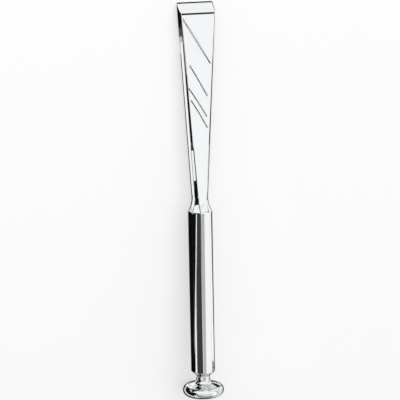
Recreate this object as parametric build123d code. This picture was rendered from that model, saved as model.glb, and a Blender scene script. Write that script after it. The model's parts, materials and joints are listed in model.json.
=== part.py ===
from build123d import *
from math import asin, atan2, cos, degrees, hypot, pi, radians, sqrt, tan
import os

# Bone chisel of one piece of stainless steel: a mushroom head to strike, a turned throat, an eight-sided
# handle, a shoulder where all eight faces draw in to a slim neck, and a blade that widens and thins to a
# straight edge, ground on the front only.
# Lengths are in millimetres and angles in degrees. The chisel is made standing on its strike face, with its
# axis up +Z and its front towards -Y, and is then laid down on its back.

# Turned head and throat
head_diameter = 25.2
rim_radius = 3.1
crown_angle = 18.0
crown_fillet = 3.0
throat_diameter = 8.5
throat_length = 9.2
relief_angle = 48.0
relief_fillet = 1.5

# Eight-sided handle and the shoulder above it
handle_length = 99.6
handle_flats = 13.7
shoulder_length = 9.4

# Neck, where the shoulder ends and the blade begins
neck_width = 9.2
neck_thickness = 7.5
neck_chamfer = 1.6

# Blade and its cutting edge
blade_length = 115.6
edge_width = 23.8
edge_thickness = 4.6
edge_chamfer = 0.5
bevel_angle = 38.0

# Softened ridges between the faces
ridge_radius = 0.4
scallop_radius = 0.3

# Heights of the stations along the axis, from the strike face up
crown_height = 2 * rim_radius
handle_start = crown_height + throat_length
shoulder_start = handle_start + handle_length
neck_height = shoulder_start + shoulder_length
overall_length = neck_height + blade_length
bevel_length = edge_thickness / tan(radians(bevel_angle))

# Radii of the turned end
head_radius = head_diameter / 2
face_radius = head_radius - rim_radius
throat_radius = throat_diameter / 2
handle_corner_radius = handle_flats / 2 / cos(pi / 8)

# A radius past every corner of the bar
outside = edge_width + handle_flats


def diagonal_half(width, thickness, chamfer):
    """Distance from the axis to the chamfer of a chamfered rectangle."""
    return (width / 2 + thickness / 2 - chamfer) / sqrt(2)


def outline_slab(turn, neck_half, edge_half):
    """One outline of the bar, seen square on and carried right through: straight along the handle, an arc
    in to the neck that leaves it in line with the blade, and a straight flare out to the cutting edge."""
    corner = (handle_flats / 2, shoulder_start)
    neck = (neck_half, neck_height)
    edge = (edge_half, overall_length)
    flare = (neck_half - edge_half, neck_height - overall_length)
    side = [
        Polyline((0, crown_height), (handle_flats / 2, crown_height), corner),
        TangentArc(neck, corner, tangent=flare),
        Polyline(neck, edge, (0, overall_length), (0, crown_height)),
    ]
    half = make_face(Plane.XZ * Curve(side))
    slab = extrude(half + mirror(half, about=Plane.YZ), outside, both=True)
    return slab.rotate(Axis.Z, turn)


def faceted_bar():
    """Handle, shoulder and blade, as the bar that four crossed outlines have in common: the width, the
    thickness and the two diagonals. Its eight faces run on from the handle's flats to the blade's faces,
    sides and chamfers, and the ridges between them are softened."""
    neck_diagonal = diagonal_half(neck_width, neck_thickness, neck_chamfer)
    edge_diagonal = diagonal_half(edge_width, edge_thickness, edge_chamfer)
    bar = outline_slab(0, neck_width / 2, edge_width / 2)
    bar &= outline_slab(90, neck_thickness / 2, edge_thickness / 2)
    bar &= outline_slab(45, neck_diagonal, edge_diagonal)
    bar &= outline_slab(135, neck_diagonal, edge_diagonal)
    ends = bar.faces().filter_by(Plane.XY)
    return fillet(bar.edges() - ends.edges(), ridge_radius)


def turned_envelope():
    """What the lathe leaves standing: the head with its half-round rim and low conical crown, the throat,
    and the relief cone that scallops the lower end of the handle."""
    crown_corner = (throat_radius, crown_height + (face_radius - throat_radius) * tan(radians(crown_angle)))
    relief_slope = tan(radians(relief_angle))
    relief_corner = (throat_radius, handle_start - (handle_corner_radius - throat_radius) / relief_slope)
    cone_top = (outside, handle_start + (outside - handle_corner_radius) / relief_slope)
    half = [
        Line((0, 0), (face_radius, 0)),
        ThreePointArc((face_radius, 0), (head_radius, rim_radius), (face_radius, crown_height)),
        Polyline((face_radius, crown_height), crown_corner, relief_corner, cone_top),
        Polyline(cone_top, (outside, overall_length), (0, overall_length), (0, 0)),
    ]
    profile = make_face(Curve(half))
    profile = fillet(profile.vertices().sort_by_distance(crown_corner)[0], crown_fillet)
    profile = fillet(profile.vertices().sort_by_distance(relief_corner)[0], relief_fillet)
    return revolve(Plane.XZ * profile, Axis.Z)


def bevel_waste():
    """Prism that the grinding of the bevel takes off: it leaves the edge on the flat back."""
    back = edge_thickness / 2
    run = outside / tan(radians(bevel_angle))
    side = Polyline((back, overall_length), (back, overall_length + run), (back - outside, overall_length + run),
                    (back - outside, overall_length - run), close=True)
    return extrude(Plane.YZ * make_face(side), outside, both=True)


def soften_scallops(solid):
    """Rounds the lower end of the handle, where the relief cone runs out into its eight faces. These are
    the cone's only edges that are neither straight nor round."""
    relief = solid.faces().filter_by(GeomType.CONE).sort_by(Axis.Z)[-1]
    plain = relief.edges().filter_by(GeomType.LINE) + relief.edges().filter_by(GeomType.CIRCLE)
    return fillet(relief.edges() - plain, scallop_radius)


def chisel_upright():
    """The whole chisel, standing on its strike face."""
    throat_middle = crown_height + throat_length / 2
    head_stock = Cylinder(outside, throat_middle, align=(Align.CENTER, Align.CENTER, Align.MIN))
    ground = (faceted_bar() + head_stock) & turned_envelope()
    return soften_scallops(ground) - bevel_waste()


def rest_angle():
    """How far the axis dips towards the tip when the chisel lies on its back, with the head's rim and the
    cutting edge on one level: the rim's round section and the edge share a tangent line."""
    along = overall_length - rim_radius
    rise = face_radius - edge_thickness / 2
    return degrees(atan2(rise, along) + asin(rim_radius / hypot(along, rise)))


def at_rest(solid):
    """Lays the chisel down with its front up and its tip towards +Y, and sets it on the floor with the
    centre of its box over the origin."""
    lying = solid.rotate(Axis.X, -90 - rest_angle())
    box = lying.bounding_box()
    return Pos(-box.center().X, -box.center().Y, -box.min.Z) * lying


os.makedirs("parts", exist_ok=True)
bone_chisel = at_rest(chisel_upright())
bone_chisel.label = "bone_chisel"
export_step(bone_chisel, "parts/bone_chisel.step")

size = bone_chisel.bounding_box().size
print(f"length {overall_length:.1f}, dips {rest_angle():.2f} degrees, volume {bone_chisel.volume:.0f}")
print(f"box {size.X:.2f} x {size.Y:.2f} x {size.Z:.2f}, bevel {bevel_length:.2f} long")
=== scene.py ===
import json
from math import cos, pi, radians, sin, sqrt, tan

import bpy
import numpy as np
from mathutils import Matrix


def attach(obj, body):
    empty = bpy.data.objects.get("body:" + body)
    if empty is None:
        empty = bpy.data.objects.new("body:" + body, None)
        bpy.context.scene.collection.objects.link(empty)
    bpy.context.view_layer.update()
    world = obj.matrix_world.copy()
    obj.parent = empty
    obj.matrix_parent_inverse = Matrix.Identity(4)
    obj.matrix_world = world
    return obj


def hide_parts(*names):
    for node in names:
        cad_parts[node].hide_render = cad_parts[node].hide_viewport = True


# A bone chisel of polished stainless steel, lying on its back with the bevel up.
# The steel skin is worked out in the chisel's own millimetres, as (x, t, f): x to the right of the front,
# t along the axis from the strike face to the cutting edge, and f from the axis out through the front.

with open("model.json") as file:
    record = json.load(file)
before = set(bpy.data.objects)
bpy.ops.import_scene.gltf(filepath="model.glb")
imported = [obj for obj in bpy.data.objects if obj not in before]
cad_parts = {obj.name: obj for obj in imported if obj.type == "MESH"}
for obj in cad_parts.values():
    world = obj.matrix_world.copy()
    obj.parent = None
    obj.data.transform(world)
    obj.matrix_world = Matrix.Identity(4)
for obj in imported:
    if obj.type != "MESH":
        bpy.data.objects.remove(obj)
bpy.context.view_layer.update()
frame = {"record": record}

# Turned head and throat
HEAD_RADIUS = 12.6
RIM_RADIUS = 3.1
CROWN_SLOPE = radians(18)
CROWN_CREASE = 0.1
CROWN_FILLET = 3.0
THROAT_RADIUS = 4.25
THROAT_LENGTH = 9.2
RELIEF_ANGLE = radians(48)
RELIEF_FILLET = 1.5

# Eight-sided handle and shoulder
FACES = 8
FACE_TURN = 2 * pi / FACES
HANDLE_LENGTH = 99.6
HANDLE_FLATS = 13.7
SHOULDER_LENGTH = 9.4

# Neck and blade, as width, thickness and chamfer
BLADE_LENGTH = 115.6
NECK = (9.2, 7.5, 1.6)
EDGE = (23.8, 4.6, 0.5)
BEVEL_ANGLE = radians(38)

# What the polishing wheel leaves of the corners, as radii, and at the shoulder as the k of its soft minimum
HANDLE_RIDGE = 1.0
BLADE_RIDGE = 0.4
SCALLOP_RIDGE = 0.35
SHOULDER_BLEND = 0.1
HEEL_RIDGE = 0.2
EDGE_RIDGE = 0.012

# It also crowns the handle's flats, which lean by this much where they meet a ridge
HANDLE_CROWN = radians(1.6)

# Stations along the axis
CROWN = 2 * RIM_RADIUS
HANDLE_START = CROWN + THROAT_LENGTH
SHOULDER = HANDLE_START + HANDLE_LENGTH
NECK_END = SHOULDER + SHOULDER_LENGTH
TIP = NECK_END + BLADE_LENGTH

# Rows of the skin from the strike face up. The first ring is a share of the strike face's flat, and a hair
# of straight rim stands between the rim's two arcs. Rows of the handle and shoulder are heights t, close
# together at the crease. Rows of the blade are shares of the way from the neck to the bevel.
FIRST_RING = 0.02
RIM_BAND = 0.1
ARC_STEPS = 12
TURNED_END = HANDLE_START + 1
BAR_ROWS = np.concatenate([
    np.linspace(HANDLE_START + 2, SHOULDER - 2, 40),
    np.linspace(SHOULDER - 1, SHOULDER + 1, 17),
    np.linspace(SHOULDER + 1.25, NECK_END, 30),
])
BLADE_ROWS = np.concatenate([np.linspace(0.012, 0.985, 78), [0.995]])

# The ridge round the bevel has this many rows, and one more on each side of it, so many radii away. The
# bevel's rings each close in on its middle by a share of the way left.
RIDGE_ROWS = 6
RIDGE_REACH = 1.5
BEVEL_SHARES = (0.05, 0.15, 0.25, 0.35, 0.5)

# Columns round the section: for each face its inner points, and for each ridge the points of its arc
FLAT_SHARES = np.array([0.006, *np.linspace(0.08, 0.92, 11), 0.994])
ARC_SHARES = np.linspace(0, 1, 8)

# Zones of the skin, each with a finish of its own, and how many rows belong to the strike face
BAR, TURNED, STRIKE, BEVEL = range(4)
STRIKE_ROWS = 2


def own_frame():
    """Origin and axes of the chisel in the frame's metres: the strike face's mount gives the origin and the
    axis, and the right side lies along the frame's x."""
    mount = next(m for m in frame["record"]["mounts"] if m["name"] == "strike_face")
    along = -np.array(mount["axis"]) / np.linalg.norm(mount["axis"])
    right = np.array((1.0, 0.0, 0.0))
    return np.array(mount["pos_m"]), np.array((right, along, np.cross(right, along)))


def to_row(points):
    """Own millimetres to the frame's metres."""
    origin, axes = own_frame()
    return origin + np.asarray(points) @ axes / 1000


def turned_path(corners, radii, steps, support=0.01):
    """A path of straight runs with each inner corner rounded, for every column at once. An arc of radius R
    starts R tan(turn / 2) before its corner, and goes on by R sin(a) along the run and R (1 - cos(a)) across
    it, for a from 0 to the turn. A support point stands so many mm outside each end of an arc."""
    points = [corners[0]]
    for before, corner, after, radius in zip(corners, corners[1:], corners[2:], radii):
        into = (corner - before) / np.linalg.norm(corner - before, axis=1)[:, None]
        out = (after - corner) / np.linalg.norm(after - corner, axis=1)[:, None]
        turn = np.arccos(np.clip((into * out).sum(1), -1, 1))[:, None]
        across = (out - into * np.cos(turn)) / np.sin(turn)
        start = corner - into * radius * np.tan(turn / 2)
        points.append(start - into * support)
        for part in np.linspace(0, 1, steps + 1):
            points.append(start + radius * (into * np.sin(part * turn) + across * (1 - np.cos(part * turn))))
        points.append(points[-1] + out * support)
    points.append(corners[-1])
    return np.array(points)


def half_distance(t, neck, edge):
    """Distance of one of the eight faces from the axis at t. It is straight on the handle. From the shoulder
    it is the arc that leaves the neck in line with the blade's flare and ends at the handle's corner, then
    the flare itself. Handle and arc meet by the soft minimum (a + b - sqrt((a - b)^2 + k^2)) / 2. Before the
    shoulder's corner the arc is only followed for 2 mm, and then leaves the handle at 45 degrees."""
    flare = (edge - neck) / BLADE_LENGTH
    normal = np.array((1, -flare)) / sqrt(1 + flare**2)
    reach = np.array((HANDLE_FLATS / 2 - neck, SHOULDER - NECK_END))
    radius = reach @ reach / (2 * reach @ normal)
    centre = np.array((neck, NECK_END)) + radius * normal
    first = SHOULDER - 2
    arc = centre[0] - np.sqrt(radius**2 - (np.clip(t, first, NECK_END) - centre[1]) ** 2)
    arc = np.where(t < first, arc + (first - t), arc)
    handle = HANDLE_FLATS / 2
    soft = (arc + handle - np.sqrt((arc - handle) ** 2 + SHOULDER_BLEND**2)) / 2
    return np.where(t > NECK_END, neck + flare * (t - NECK_END), soft)


def face_distances(t):
    """The eight distances at t, from the right side round over the front: width, diagonal, thickness. A
    chamfer with legs c cuts the corner of a w by h section at (w / 2 + h / 2 - c) / sqrt(2)."""
    def diagonal(size):
        return (size[0] / 2 + size[1] / 2 - size[2]) / sqrt(2)
    width = half_distance(t, NECK[0] / 2, EDGE[0] / 2)
    thickness = half_distance(t, NECK[1] / 2, EDGE[1] / 2)
    slant = half_distance(t, diagonal(NECK), diagonal(EDGE))
    return np.array([width, slant, thickness, slant] * 2)


def columns():
    """Face number, share of the way across the flat, and facing of every column, once round the section."""
    rows = []
    for face in range(FACES):
        rows += [(face, share, face * FACE_TURN) for share in FLAT_SHARES]
        rows += [(face + 1, 0.0, (face + share) * FACE_TURN) for share in ARC_SHARES]
    face, share, facing = np.array(rows).T
    return face.astype(int) % FACES, share, facing


def section(t):
    """(x, f) of every column at t, an array that ends in one entry for each column. With the ridge radius
    taken off, two neighbouring faces meet in a corner point. A column lies between the corners at the two
    ends of its face, moved out by the ridge radius along its own facing, and a flat is crowned by
    s (1 - s) times its width times the slope that the crown has at the ridge. Along the blade the handle's
    ridge radius turns evenly into the blade's, and the crown fades with the cube of the way left."""
    face, share, facing = columns()
    blade = np.clip((t - SHOULDER) / (TIP - SHOULDER), 0, 1)
    ridge = HANDLE_RIDGE + (BLADE_RIDGE - HANDLE_RIDGE) * blade
    crown = HANDLE_CROWN * (1 - blade) ** 3
    distances = face_distances(t) - ridge
    pick = np.arange(len(face))

    def corner(first):
        near = distances[first % FACES, ..., pick].T
        far = distances[(first + 1) % FACES, ..., pick].T
        aside = (far - near * cos(FACE_TURN)) / sin(FACE_TURN)
        angle = first * FACE_TURN
        x = near * np.cos(angle) - aside * np.sin(angle)
        f = near * np.sin(angle) + aside * np.cos(angle)
        return np.stack([x, f], -1)

    start, end = corner(face - 1), corner(face)
    width = np.linalg.norm(end - start, axis=-1)
    out = ridge + width * crown * share * (1 - share)
    towards = np.stack([np.cos(facing), np.sin(facing)], -1)
    return start + (end - start) * share[:, None] + out[..., None] * towards


def turned_rows():
    """The lathe's part of the skin, up to the start of the handle's flats: strike face, half-round rim,
    conical crown, throat and relief cone. In every column the cone meets the handle at the height where its
    radius equals the column's, which scallops the handle's end."""
    handle = section(np.full(len(columns()[0]), HANDLE_START))
    radius = np.linalg.norm(handle, axis=1)
    corner_radius = HANDLE_FLATS / 2 / cos(FACE_TURN / 2)
    face_radius = HEAD_RADIUS - RIM_RADIUS
    rim = RIM_RADIUS - RIM_BAND / 2
    ones = np.ones_like(radius)

    def ring(r, t):
        return np.stack([r * ones, t * ones], 1)

    corners = [
        ring(face_radius * FIRST_RING, 0),
        ring(HEAD_RADIUS, 0),
        ring(HEAD_RADIUS, CROWN),
        ring(face_radius, CROWN),
        ring(THROAT_RADIUS, CROWN + (face_radius - THROAT_RADIUS) * tan(CROWN_SLOPE)),
        ring(THROAT_RADIUS, HANDLE_START - (corner_radius - THROAT_RADIUS) / tan(RELIEF_ANGLE)),
        ring(radius, HANDLE_START - (corner_radius - radius) / tan(RELIEF_ANGLE)),
        ring(radius, TURNED_END),
    ]
    radii = [rim, rim, CROWN_CREASE, CROWN_FILLET, RELIEF_FILLET, SCALLOP_RIDGE]
    path = turned_path(corners, radii, ARC_STEPS)
    around = handle / radius[:, None]
    return np.stack([path[..., 0] * around[:, 0], path[..., 1], path[..., 0] * around[:, 1]], -1)


def bevel_cut():
    """Height at which each column meets the bevel's plane f = (TIP - t) tan(bevel) - thickness / 2. Columns
    are nearly straight here, so thirty halved steps find it."""
    back = EDGE[1] / 2
    t = np.full(len(columns()[0]), TIP - back)
    for _ in range(30):
        depth = section(t)[:, 1]
        t = 0.5 * t + 0.5 * (TIP - (depth + back) / tan(BEVEL_ANGLE))
    return t


def bar_rows():
    """Handle, shoulder and blade. Every column of the blade ends where it meets the bevel's plane."""
    levels = BAR_ROWS[:, None] * np.ones(len(columns()[0]))
    t = np.concatenate([levels, NECK_END + BLADE_ROWS[:, None] * (bevel_cut() - NECK_END)])
    place = section(t)
    return np.stack([place[..., 0], t, place[..., 1]], -1)


def bevel_rows():
    """The ring where the skin turns over into the bevel, and then ever smaller rings of the same outline
    that close in on the middle of the bevel. The ridge between them is a quarter turn from the way down the
    column to the way in over the bevel. Its radius is a hair at the cutting edge and grows to the heel's,
    which it has from a third of the thickness up."""
    t = bevel_cut()
    place = section(t)
    ring = np.stack([place[:, 0], t, place[:, 1]], 1)
    below = section(t - 1)
    down = np.stack([below[:, 0], t - 1, below[:, 1]], 1) - ring
    down /= np.linalg.norm(down, axis=1)[:, None]
    plane = np.array((0, sin(BEVEL_ANGLE), cos(BEVEL_ANGLE)))
    tangent = np.roll(ring, -1, 0) - np.roll(ring, 1, 0)
    inward = np.cross(tangent, plane)
    inward /= np.linalg.norm(inward, axis=1)[:, None]
    inward *= np.sign((inward * (ring.mean(0) - ring)).sum(1))[:, None]
    rise = (place[:, 1] + EDGE[1] / 2) / EDGE[1]
    radius = (EDGE_RIDGE + (HEEL_RIDGE - EDGE_RIDGE) * np.clip(rise * 3, 0, 1))[:, None]
    rows = [ring + down * radius * RIDGE_REACH]
    for part in np.linspace(0, pi / 2, RIDGE_ROWS):
        rows.append(ring + radius * (down * (1 - sin(part)) + inward * (1 - cos(part))))
    rows.append(ring + inward * radius * RIDGE_REACH)
    for share in BEVEL_SHARES:
        rows.append(rows[-1] + (ring.mean(0) - rows[-1]) * share)
    return np.array(rows)


def steel_skin():
    """Vertices, faces and the zone of each face. The grid has a row for each step along the skin and a
    column for each place round the section. A point on the strike face and one on the bevel close it."""
    turned = turned_rows()
    rows = np.concatenate([turned, bar_rows(), bevel_rows()])
    count = rows.shape[1]
    grid = np.arange(rows.shape[0] * count).reshape(-1, count)
    following = np.roll(grid, -1, 1)
    quads = np.stack([grid[:-1], grid[1:], following[1:], following[:-1]], -1)
    row_zone = np.where(np.arange(len(quads)) < len(turned), TURNED, BAR)
    row_zone[:STRIKE_ROWS] = STRIKE
    row_zone[-len(BEVEL_SHARES) - 1:] = BEVEL

    face_middle = rows.shape[0] * count
    bevel_middle = face_middle + 1
    first = np.stack([np.full(count, face_middle), grid[0], following[0]], 1)
    last = np.stack([np.full(count, bevel_middle), following[-1], grid[-1]], 1)
    points = np.concatenate([rows.reshape(-1, 3), [(0, 0, 0)], [rows[-1].mean(0)]])
    faces = quads.reshape(-1, 4).tolist() + first.tolist() + last.tolist()
    zones = np.concatenate([np.repeat(row_zone, count), np.full(count, STRIKE), np.full(count, BEVEL)])
    return points, faces, zones


def linear(colour):
    """An sRGB hex colour as linear RGBA."""
    channels = np.array([int(colour[i:i + 2], 16) for i in (1, 3, 5)]) / 255
    channels = np.where(channels <= 0.04045, channels / 12.92, ((channels + 0.055) / 1.055) ** 2.4)
    return (*channels.tolist(), 1.0)


def add_node(tree, kind, inputs=None, **settings):
    """Adds a node to the tree. Each input, by name or number, is a value or another node's output."""
    node = tree.nodes.new(kind)
    for name, value in settings.items():
        setattr(node, name, value)
    for key, value in (inputs or {}).items():
        if isinstance(value, bpy.types.NodeSocket):
            tree.links.new(value, node.inputs[key])
        else:
            node.inputs[key].default_value = value
    return node


def new_tree(name):
    """A new material and its emptied node tree."""
    material = bpy.data.materials.new(name)
    material.use_nodes = True
    material.node_tree.nodes.clear()
    return material, material.node_tree


# Stainless tool steel, all one bar. Its colour is the faintly cool grey of the bare metal.
STEEL = "#DCDEDF"


def steel_finish(name, spacing, stretch, rough, line_depth, wave, wave_depth, rings=False, shade=0.04):
    """One finish of the steel. Grinding lines are noise whose grain is spacing mm wide and stretch times as
    long. They run along t, or round the axis where rings is set, and there the grain is laid out over radius
    and height. Under them lies the hand's slow unevenness, wave mm long and a third as wide. rough is the
    least and most roughness, the depths are in mm, and shade is how much darker the deepest lines are."""
    material, tree = new_tree(name)
    own = add_node(tree, "ShaderNodeAttribute", attribute_name="own_mm")
    part = add_node(tree, "ShaderNodeSeparateXYZ", {0: own.outputs["Vector"]})
    if rings:
        flat = add_node(tree, "ShaderNodeCombineXYZ", {0: part.outputs[0], 1: part.outputs[2]})
        radius = add_node(tree, "ShaderNodeVectorMath", {0: flat.outputs[0]}, operation="LENGTH")
        grain = add_node(tree, "ShaderNodeCombineXYZ", {0: radius.outputs["Value"], 1: part.outputs[1]})
        drawn = add_node(tree, "ShaderNodeVectorMath", {0: grain.outputs[0], 1: (1 / spacing,) * 3},
                         operation="MULTIPLY")
    else:
        drawn = add_node(tree, "ShaderNodeVectorMath",
                         {0: own.outputs["Vector"], 1: (1 / spacing, 1 / spacing / stretch, 1 / spacing)},
                         operation="MULTIPLY")
    lines = add_node(tree, "ShaderNodeTexNoise", {
        "Vector": drawn.outputs[0], "Scale": 1.0, "Detail": 3.0, "Roughness": 0.6})
    slow = add_node(tree, "ShaderNodeVectorMath",
                    {0: own.outputs["Vector"], 1: (3 / wave, 1 / wave, 3 / wave)}, operation="MULTIPLY")
    hand = add_node(tree, "ShaderNodeTexNoise", {"Vector": slow.outputs[0], "Scale": 1.0, "Detail": 1.0})

    # The two noises mostly add up to between 0.75 and 1.25
    haze = add_node(tree, "ShaderNodeMath", {0: lines.outputs[0], 1: hand.outputs[0]}, operation="ADD")
    roughness = add_node(tree, "ShaderNodeMapRange", {
        "Value": haze.outputs[0], "From Min": 0.75, "From Max": 1.25, "To Min": rough[0], "To Max": rough[1]})
    darker = tuple(c * (1 - shade) for c in linear(STEEL)[:3]) + (1.0,)
    tint = add_node(tree, "ShaderNodeMix", {"Factor": lines.outputs[0], 6: darker, 7: linear(STEEL)},
                    data_type="RGBA")
    uneven = add_node(tree, "ShaderNodeBump", {
        "Height": hand.outputs[0], "Strength": 1.0, "Distance": wave_depth / 1000})
    ground = add_node(tree, "ShaderNodeBump", {
        "Height": lines.outputs[0], "Strength": 1.0, "Distance": line_depth / 1000,
        "Normal": uneven.outputs[0]})
    shader = add_node(tree, "ShaderNodeBsdfPrincipled", {
        "Base Color": tint.outputs[2], "Metallic": 1.0, "Roughness": roughness.outputs[0],
        "Normal": ground.outputs[0]})
    add_node(tree, "ShaderNodeOutputMaterial", {"Surface": shader.outputs[0]})
    return material


# Handle and blade: stainless steel ground lengthwise and buffed on a soft wheel. It mirrors the room almost
# clearly, and faint lines run along it. Real lines are 0.05 mm apart, too fine to show, so these are 0.5.
buffed_bar = steel_finish("buffed_stainless_steel", spacing=0.5, stretch=60, rough=(0.02, 0.05),
                          line_depth=0.0002, wave=22, wave_depth=0.003)

# Head, throat and relief cone: stainless steel turned on a lathe and polished there. Its faint rings follow
# the turning, and the mirror is as clear as on the bar. Real rings are 0.05 mm apart and are drawn at 0.4.
turned_head = steel_finish("lathe_polished_stainless_steel", spacing=0.4, stretch=1, rough=(0.02, 0.05),
                           line_depth=0.0002, wave=9, wave_depth=0.001, rings=True)

# Strike face: stainless steel faced on the lathe and left satin, so that a mallet doesn't slip. It mirrors
# the room as a dull haze, and its rings show close up. A facing cut of 0.1 mm a turn is drawn at 0.35.
faced_strike = steel_finish("faced_stainless_steel", spacing=0.35, stretch=1, rough=(0.2, 0.32),
                            line_depth=0.0015, wave=8, wave_depth=0.001, rings=True, shade=0.08)

# Bevel: stainless steel ground on a fine wheel and honed. Its lines run up the slope to the cutting edge.
# Real lines of a 600 grit wheel are 0.03 mm apart and are drawn at 0.25.
honed_bevel = steel_finish("honed_stainless_steel", spacing=0.25, stretch=40, rough=(0.03, 0.08),
                           line_depth=0.0003, wave=12, wave_depth=0.0001)


def chisel():
    """The whole chisel as one skin, which stands for the CAD node."""
    points, faces, zones = steel_skin()
    mesh = bpy.data.meshes.new("chisel_steel")
    mesh.from_pydata(to_row(points).tolist(), [], faces)
    own = mesh.attributes.new("own_mm", "FLOAT_VECTOR", "POINT")
    own.data.foreach_set("vector", points.astype(np.float32).ravel())

    # In the order of the zones' numbers
    for finish in (buffed_bar, turned_head, faced_strike, honed_bevel):
        mesh.materials.append(finish)
    mesh.polygons.foreach_set("material_index", zones.astype(np.int32))
    mesh.polygons.foreach_set("use_smooth", np.ones(len(zones), bool))
    mesh.update()
    piece = bpy.data.objects.new("chisel_steel", mesh)
    bpy.context.scene.collection.objects.link(piece)
    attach(piece, "root")
    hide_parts("bone_chisel")


# Matt black card, and matt white paper that reaches 6 m each way. The paper throws back less than white, and
# adds light of its own for the camera and for reflections, where 1 is white.
CARD_BLACK = "#0B0B0B"
PAPER_WHITE = "#C6C6C5"
PAPER_LIFT = 0.42
PAPER_REACH = 6


def plain(name, glow=0.0):
    """A matt black card's material, or a card that glows by itself, where 1 is white."""
    material, tree = new_tree(name)
    shader = add_node(tree, "ShaderNodeBsdfPrincipled", {
        "Base Color": linear(CARD_BLACK), "Roughness": 0.9, "Specular IOR Level": 0.1,
        "Emission Color": (1, 1, 1, 1), "Emission Strength": glow})
    add_node(tree, "ShaderNodeOutputMaterial", {"Surface": shader.outputs[0]})
    return material


def card(name, corners, material, seen=False, lights=False):
    """A flat card of the studio, given by its corners in metres. The chisel mirrors every card. The camera
    sees it where seen is set, and it takes part in the light on the floor where lights is set."""
    mesh = bpy.data.meshes.new(name)
    mesh.from_pydata(corners, [], [range(len(corners))])
    mesh.materials.append(material)
    item = bpy.data.objects.new(name, mesh)
    bpy.context.scene.collection.objects.link(item)
    item.visible_camera = seen
    item.visible_diffuse = lights
    item.visible_shadow = lights


def level(height, *corners):
    """Corners of a level card at that height, from its (x, y) corners."""
    return [(x, y, height) for x, y in corners]


def on_paper(*corners):
    """Corners of a card that lies on the paper, 0.1 mm up, from its (x, y) corners."""
    return level(0.0001, *corners)


def at_side(x, *corners):
    """Corners of an upright card at that x, which faces the chisel's side, from its (y, z) corners."""
    return [(x, y, z) for y, z in corners]


def upright(first, last, low, high):
    """Corners of an upright rectangle over the line between two (x, y) points."""
    return [(*first, low), (*last, low), (*last, high), (*first, high)]


def floor():
    """The white paper under the chisel. Its own light, for the camera and for reflections, only lifts the
    paper to white, and the shadow stays."""
    material, tree = new_tree("matt_white_paper")
    path = add_node(tree, "ShaderNodeLightPath")
    seen = path.outputs["Is Camera Ray"]
    for ray in ("Is Glossy Ray", "Is Transmission Ray"):
        either = add_node(tree, "ShaderNodeMath", {0: seen, 1: path.outputs[ray]}, operation="MAXIMUM")
        seen = either.outputs[0]
    lift = add_node(tree, "ShaderNodeMath", {0: seen, 1: PAPER_LIFT}, operation="MULTIPLY")
    shader = add_node(tree, "ShaderNodeBsdfPrincipled", {
        "Base Color": linear(PAPER_WHITE), "Roughness": 0.9, "Specular IOR Level": 0.1,
        "Emission Color": (1, 1, 1, 1), "Emission Strength": lift.outputs[0]})
    add_node(tree, "ShaderNodeOutputMaterial", {"Surface": shader.outputs[0]})
    far = PAPER_REACH
    sheet = level(0, (-far, -far), (far, -far), (far, far), (-far, far))
    card("floor", sheet, material, seen=True, lights=True)


# How bright the studio's walls are in each direction, from the direction's x and z. The cove is white up to
# the first z and gone at the second. Above it a wall is as bright as z times the rise, and from the first x
# to the second it gains up to the third number.
COVE = (0.36, 0.41)
WALL_RISE = 0.12
WALL_RIGHT = (0.5, 0.9, 0.7)


def room():
    """The walls of the studio: a white cove all round at the height of the horizon, dark on the left above
    it, and paler towards the right and the top."""
    world = bpy.data.worlds.new("white_studio")
    world.use_nodes = True
    tree = world.node_tree
    tree.nodes.clear()
    sight = add_node(tree, "ShaderNodeTexCoord")
    part = add_node(tree, "ShaderNodeSeparateXYZ", {0: sight.outputs["Generated"]})
    across = add_node(tree, "ShaderNodeMapRange", {
        "Value": part.outputs[0], "From Min": WALL_RIGHT[0], "From Max": WALL_RIGHT[1],
        "To Min": 0.0, "To Max": WALL_RIGHT[2]}, interpolation_type="SMOOTHSTEP")
    rising = add_node(tree, "ShaderNodeMath", {0: part.outputs[2], 1: WALL_RISE, 2: across.outputs[0]},
                      operation="MULTIPLY_ADD")
    cove = add_node(tree, "ShaderNodeMapRange", {
        "Value": part.outputs[2], "From Min": COVE[0], "From Max": COVE[1], "To Min": 1.0, "To Max": 0.0},
        interpolation_type="SMOOTHSTEP")
    light = add_node(tree, "ShaderNodeMath", {0: rising.outputs[0], 1: cove.outputs[0]}, operation="MAXIMUM")
    back = add_node(tree, "ShaderNodeBackground", {"Color": (1, 1, 1, 1), "Strength": light.outputs[0]})
    add_node(tree, "ShaderNodeOutputWorld", {"Surface": back.outputs[0]})
    bpy.context.scene.world = world


def softbox(name, centre, size, glow):
    """A rectangular studio lamp that faces down. glow is how bright its face is, where 1 is white."""
    lamp = bpy.data.lights.new(name, "AREA")
    lamp.shape = "RECTANGLE"
    lamp.size, lamp.size_y = size
    lamp.energy = glow * pi * size[0] * size[1]
    item = bpy.data.objects.new(name, lamp)
    bpy.context.scene.collection.objects.link(item)
    item.location = centre


# Where the camera stands in the chisel's own millimetres, turned to the left of the front, and its lens
CAMERA_TURN = radians(26.610)
CAMERA_REACH = 865.29
CAMERA_PLACE = np.array((-CAMERA_REACH * sin(CAMERA_TURN), 285.575, CAMERA_REACH * cos(CAMERA_TURN)))
CAMERA_AIM = np.array((0.1224, 121.779, 0.0))
CAMERA_ROLL = radians(-1.0963)
CAMERA_SENSOR = 36
CAMERA_LENS = 131.87


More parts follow.
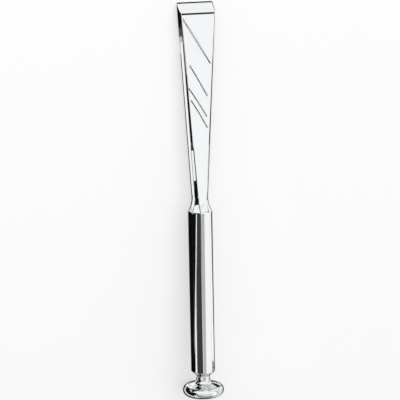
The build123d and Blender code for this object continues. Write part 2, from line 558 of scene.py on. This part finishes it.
def photo_camera():
    """The camera that fits the photograph, high over the front, on its left and towards the cutting edge."""
    sight = (CAMERA_AIM - CAMERA_PLACE) / np.linalg.norm(CAMERA_AIM - CAMERA_PLACE)
    right = np.cross(sight, (0, 1, 0))
    right /= np.linalg.norm(right)
    up = np.cross(right, sight)
    turn = np.array(((cos(CAMERA_ROLL), sin(CAMERA_ROLL)), (-sin(CAMERA_ROLL), cos(CAMERA_ROLL))))
    axes = np.array((*(turn @ (right, up)), -sight)) @ own_frame()[1]
    data = bpy.data.cameras.new("camera")
    data.sensor_width = CAMERA_SENSOR
    data.lens = CAMERA_LENS
    camera = bpy.data.objects.new("camera", data)
    bpy.context.scene.collection.objects.link(camera)
    camera.matrix_world = Matrix.Translation(to_row(CAMERA_PLACE)) @ Matrix(axes.T.tolist()).to_4x4()
    bpy.context.scene.camera = camera


# Ends of the slanting lines that the blade's front mirrors, as own (x, t) in mm, and of the dark line along
# the bevel's heel
SLANTING_LINES = (
    ((-10.2, 230.7), (7.5, 203.6)), ((-6.5, 203.4), (5.2, 184.5)),
    ((-7.8, 190.1), (4.8, 172.2)), ((-6.6, 182.8), (5.3, 165.5)),
)
HEEL_LINE = ((-12.5, 233.6), (12.5, 233.6))


def mirrored_at(spots, height):
    """Where the blade's front, at its own (x, t) spots in mm, mirrors the level at that height in metres.
    The line of sight d turns into d - 2 (d n) n at the face with the normal n, and goes on to the level."""
    x, t = np.array(spots).T
    taper = (EDGE[1] - NECK[1]) / 2 / BLADE_LENGTH
    place = np.stack([x, t, NECK[1] / 2 + taper * (t - NECK_END)], 1)
    normal = np.array((0, -taper, 1)) / sqrt(1 + taper**2)
    sight = place - CAMERA_PLACE
    sight = (sight - 2 * (sight @ normal)[:, None] * normal) @ own_frame()[1]
    place = to_row(place)
    return place + sight * ((height - place[:, 2]) / sight[:, 2])[:, None]


def dark_bars(name, lines, height, width, material):
    """Thin dark bars over the blade, one for each line that its front mirrors, wide as given in metres."""
    for index, ends in enumerate(lines):
        first, last = mirrored_at(ends, height)
        aside = np.cross(last - first, (0, 0, 1))
        aside *= width / 2 / np.linalg.norm(aside)
        corners = [first - aside, last - aside, last + aside, first + aside]
        card(f"{name}_{index + 1}", [tuple(corner) for corner in corners], material)


chisel()
floor()
room()
softbox("overhead_softbox", centre=(0.84, 0.185, 1.0), size=(0.8, 2.57), glow=1.17)
photo_camera()

white_card = plain("white_card", glow=1.2)
bright_card = plain("bright_white_card", glow=1.25)
grey_card = plain("grey_card", glow=0.62)
dark_card = plain("dark_grey_card", glow=0.1)
black_card = plain("black_card")

# Large white cards in metres, which light the paper too
LIGHT_CARDS = {
    "ceiling_card": (white_card, level(
        1.0, (-3.6, 0.35), (-1.6, 0.35), (-1.6, -0.14), (0.44, -0.14), (0.44, 1.6), (-3.6, 2.5))),
    "head_card": (white_card, level(1.0, (-1.6, -0.80), (0.44, -0.80), (0.44, -0.36), (-1.6, -0.36))),
    "back_card": (bright_card, upright((-2.2, 1.6), (2.2, 1.6), 0, 0.965)),
}

# Grey and white cards that only the steel mirrors. Each gives one face or ridge its tone.
TONE_CARDS = {
    "grey_card": (grey_card, level(0.99, (-0.6, -0.455), (0.442, -0.455), (0.475, -0.14), (-0.6, -0.14))),
    "white_left_of_blade": (bright_card, on_paper(
        (-0.020, -0.001), (-0.0086, -0.001), (-0.0084, 0.0), (-0.0077, 0.004), (-0.0113, 0.090),
        (-0.012, 0.0965), (-0.020, 0.0965))),
    "white_right_of_handle": (bright_card, on_paper(
        (0.0245, 0.034), (0.0242, 0.016), (0.0250, 0.003), (0.0275, -0.001), (0.0295, -0.005),
        (0.0295, -0.006), (0.0367, -0.118), (0.090, -0.118), (0.060, 0.034))),
    "white_left_of_crown": (bright_card, on_paper(
        (-0.0085, -0.1115), (-0.002, -0.1115), (-0.002, -0.098), (-0.0085, -0.098))),
    "strip_on_left_wall": (bright_card, at_side(
        -0.150, (-0.030, 0.0852), (-0.044, 0.0838), (-0.0875, 0.0797), (-0.115, 0.0772), (-0.165, 0.0760),
        (-0.165, 0.0840), (-0.115, 0.0825), (-0.0875, 0.0830), (-0.044, 0.0868), (-0.030, 0.0880))),
    "grey_left_of_tip": (grey_card, on_paper(
        (-0.022, 0.0965), (-0.009, 0.0965), (-0.009, 0.0998), (-0.022, 0.0998))),
    "dark_left_of_tip": (dark_card, on_paper(
        (-0.022, 0.0998), (-0.009, 0.0998), (-0.009, 0.105), (-0.022, 0.105))),
    "white_left_of_neck": (bright_card, upright((-0.030, 0.0080), (-0.030, 0.0270), 0.0190, 0.0240)),
}

# Black flags that only the steel mirrors. Each gives one dark face, ridge or mark, and is cut to the place
# that this part of the steel mirrors for the camera.
FLAGS = {
    "flag_left_of_handle": on_paper(
        (-0.0175, -0.1097), (-0.0088, -0.1097), (-0.0088, -0.003), (-0.030, -0.0035), (-0.150, -0.030),
        (-0.150, -0.052), (-0.060, -0.077), (-0.030, -0.0843), (-0.0175, -0.0885)),
    "flag_on_left_wall": at_side(
        -0.150, (-0.030, 0.0), (-0.146, 0.0), (-0.146, 0.060), (-0.165, 0.060), (-0.165, 0.0760),
        (-0.115, 0.0772), (-0.0875, 0.0797), (-0.044, 0.0838), (-0.030, 0.0852)),
    "flag_low_left_of_head": upright((-0.150, -0.090), (-0.150, -0.220), 0.0, 0.048),
    "flag_left_of_head": on_paper(
        (-0.0055, -0.110), (-0.008, -0.1086), (-0.015, -0.1097), (-0.0205, -0.1135), (-0.031, -0.1215),
        (-0.060, -0.144), (-0.150, -0.200), (-0.150, -0.060), (-0.060, -0.086), (-0.031, -0.094),
        (-0.020, -0.098), (-0.012, -0.1002), (-0.010, -0.102), (-0.006, -0.1075)),
    "flag_round_head": on_paper(
        (0.0, -0.1130), (-0.006, -0.1128), (-0.009, -0.1123), (-0.0115, -0.1118), (-0.014, -0.115),
        (-0.017, -0.1185), (-0.020, -0.124), (-0.0235, -0.1305), (-0.042, -0.164), (-0.170, -0.600),
        (0.220, -0.600), (0.058, -0.185), (0.024, -0.140), (0.010, -0.130)),
    "flag_beyond_head": upright((-0.170, -0.600), (0.220, -0.600), 0.0, 0.12),
    "flag_crown_mark": on_paper(
        (-0.0066, -0.1038), (-0.0042, -0.1042), (-0.0035, -0.101), (-0.0045, -0.099), (-0.0088, -0.090),
        (-0.012, -0.091), (-0.0085, -0.0985)),
    "flag_right_of_head": on_paper(
        (0.012, -0.1125), (0.0155, -0.1122), (0.021, -0.1108), (0.028, -0.110), (0.036, -0.109),
        (0.070, -0.113), (0.070, -0.132), (0.062, -0.155), (0.030, -0.185), (0.018, -0.150),
        (0.012, -0.130)),
    "flag_right_of_crown": on_paper(
        (0.0155, -0.1065), (0.021, -0.107), (0.025, -0.101), (0.032, -0.0988), (0.032, -0.0955),
        (0.024, -0.0965), (0.019, -0.0995), (0.0155, -0.1035)),
    "flag_over_relief": level(0.98, (-1.75, 0.003), (0.38, 0.003), (0.38, 0.07), (-1.75, 0.07)),
    "flag_right_over_relief": level(0.98, (0.6, 0.003), (1.24, 0.003), (1.24, 0.07), (0.6, 0.07)),
    "flag_left_of_tip": on_paper((-0.032, 0.105), (-0.009, 0.105), (-0.009, 0.122), (-0.032, 0.122)),
    "flag_far_left_of_tip": upright((-0.030, 0.097), (-0.030, 0.119), 0.0, 0.020),
    "flag_left_of_blade": on_paper(
        (-0.0088, -0.003), (-0.0055, -0.003), (-0.009, 0.090), (-0.0113, 0.090), (-0.0077, 0.004),
        (-0.0084, 0.0)),
    "flag_left_of_ridge": upright((-0.030, 0.032), (-0.030, 0.074), 0.0140, 0.060),
    "flag_left_of_neck": upright((-0.030, -0.003), (-0.030, 0.0072), 0.0195, 0.060),
    "flag_right_of_blade": on_paper(
        (0.012, 0.034), (0.0245, 0.034), (0.050, 0.028), (0.050, 0.084), (0.0245, 0.100),
        (0.0245, 0.112), (0.012, 0.112)),
    "flag_right_of_neck": on_paper(
        (0.012, -0.005), (0.0295, -0.005), (0.0275, -0.001), (0.0250, 0.003), (0.0242, 0.016),
        (0.0245, 0.034), (0.012, 0.034)),
    "flag_low_left_of_neck": upright((-0.030, -0.004), (-0.030, 0.030), 0.0, 0.016),
    "flag_over_left_ridge": level(0.030, (-0.022, 0.002), (0.001, 0.002), (0.001, 0.032), (-0.022, 0.032)),
    "flag_over_right_ridge": level(0.6, (0.45, -0.09), (0.63, -0.09), (0.63, 0.0), (0.45, 0.0)),
    "flag_right_of_handle": on_paper(
        (0.014, -0.006), (0.0295, -0.006), (0.0367, -0.118), (0.0305, -0.118), (0.0285, -0.086),
        (0.014, -0.084)),
    "flag_right_of_ridge": upright((0.050, 0.028), (0.050, 0.084), 0.0, 0.064),
    "flag_beyond_edge": upright((-0.014, 0.130), (0.024, 0.130), 0.0, 0.0035),
    "flag_right_of_bevel": at_side(
        0.0149, (0.118, 0.0), (0.1275, 0.0), (0.1268, 0.0019), (0.1213, 0.0067), (0.118, 0.0067)),
}

for name, (material, corners) in LIGHT_CARDS.items():
    card(name, corners, material, lights=True)
for name, (material, corners) in TONE_CARDS.items():
    card(name, corners, material)
for name, corners in FLAGS.items():
    card(name, corners, black_card)
dark_bars("slanting_bar", SLANTING_LINES, height=0.10, width=0.0008, material=black_card)
dark_bars("heel_bar", [HEEL_LINE], height=0.03, width=0.0018, material=black_card)

bpy.context.scene.view_settings.view_transform = "Standard"
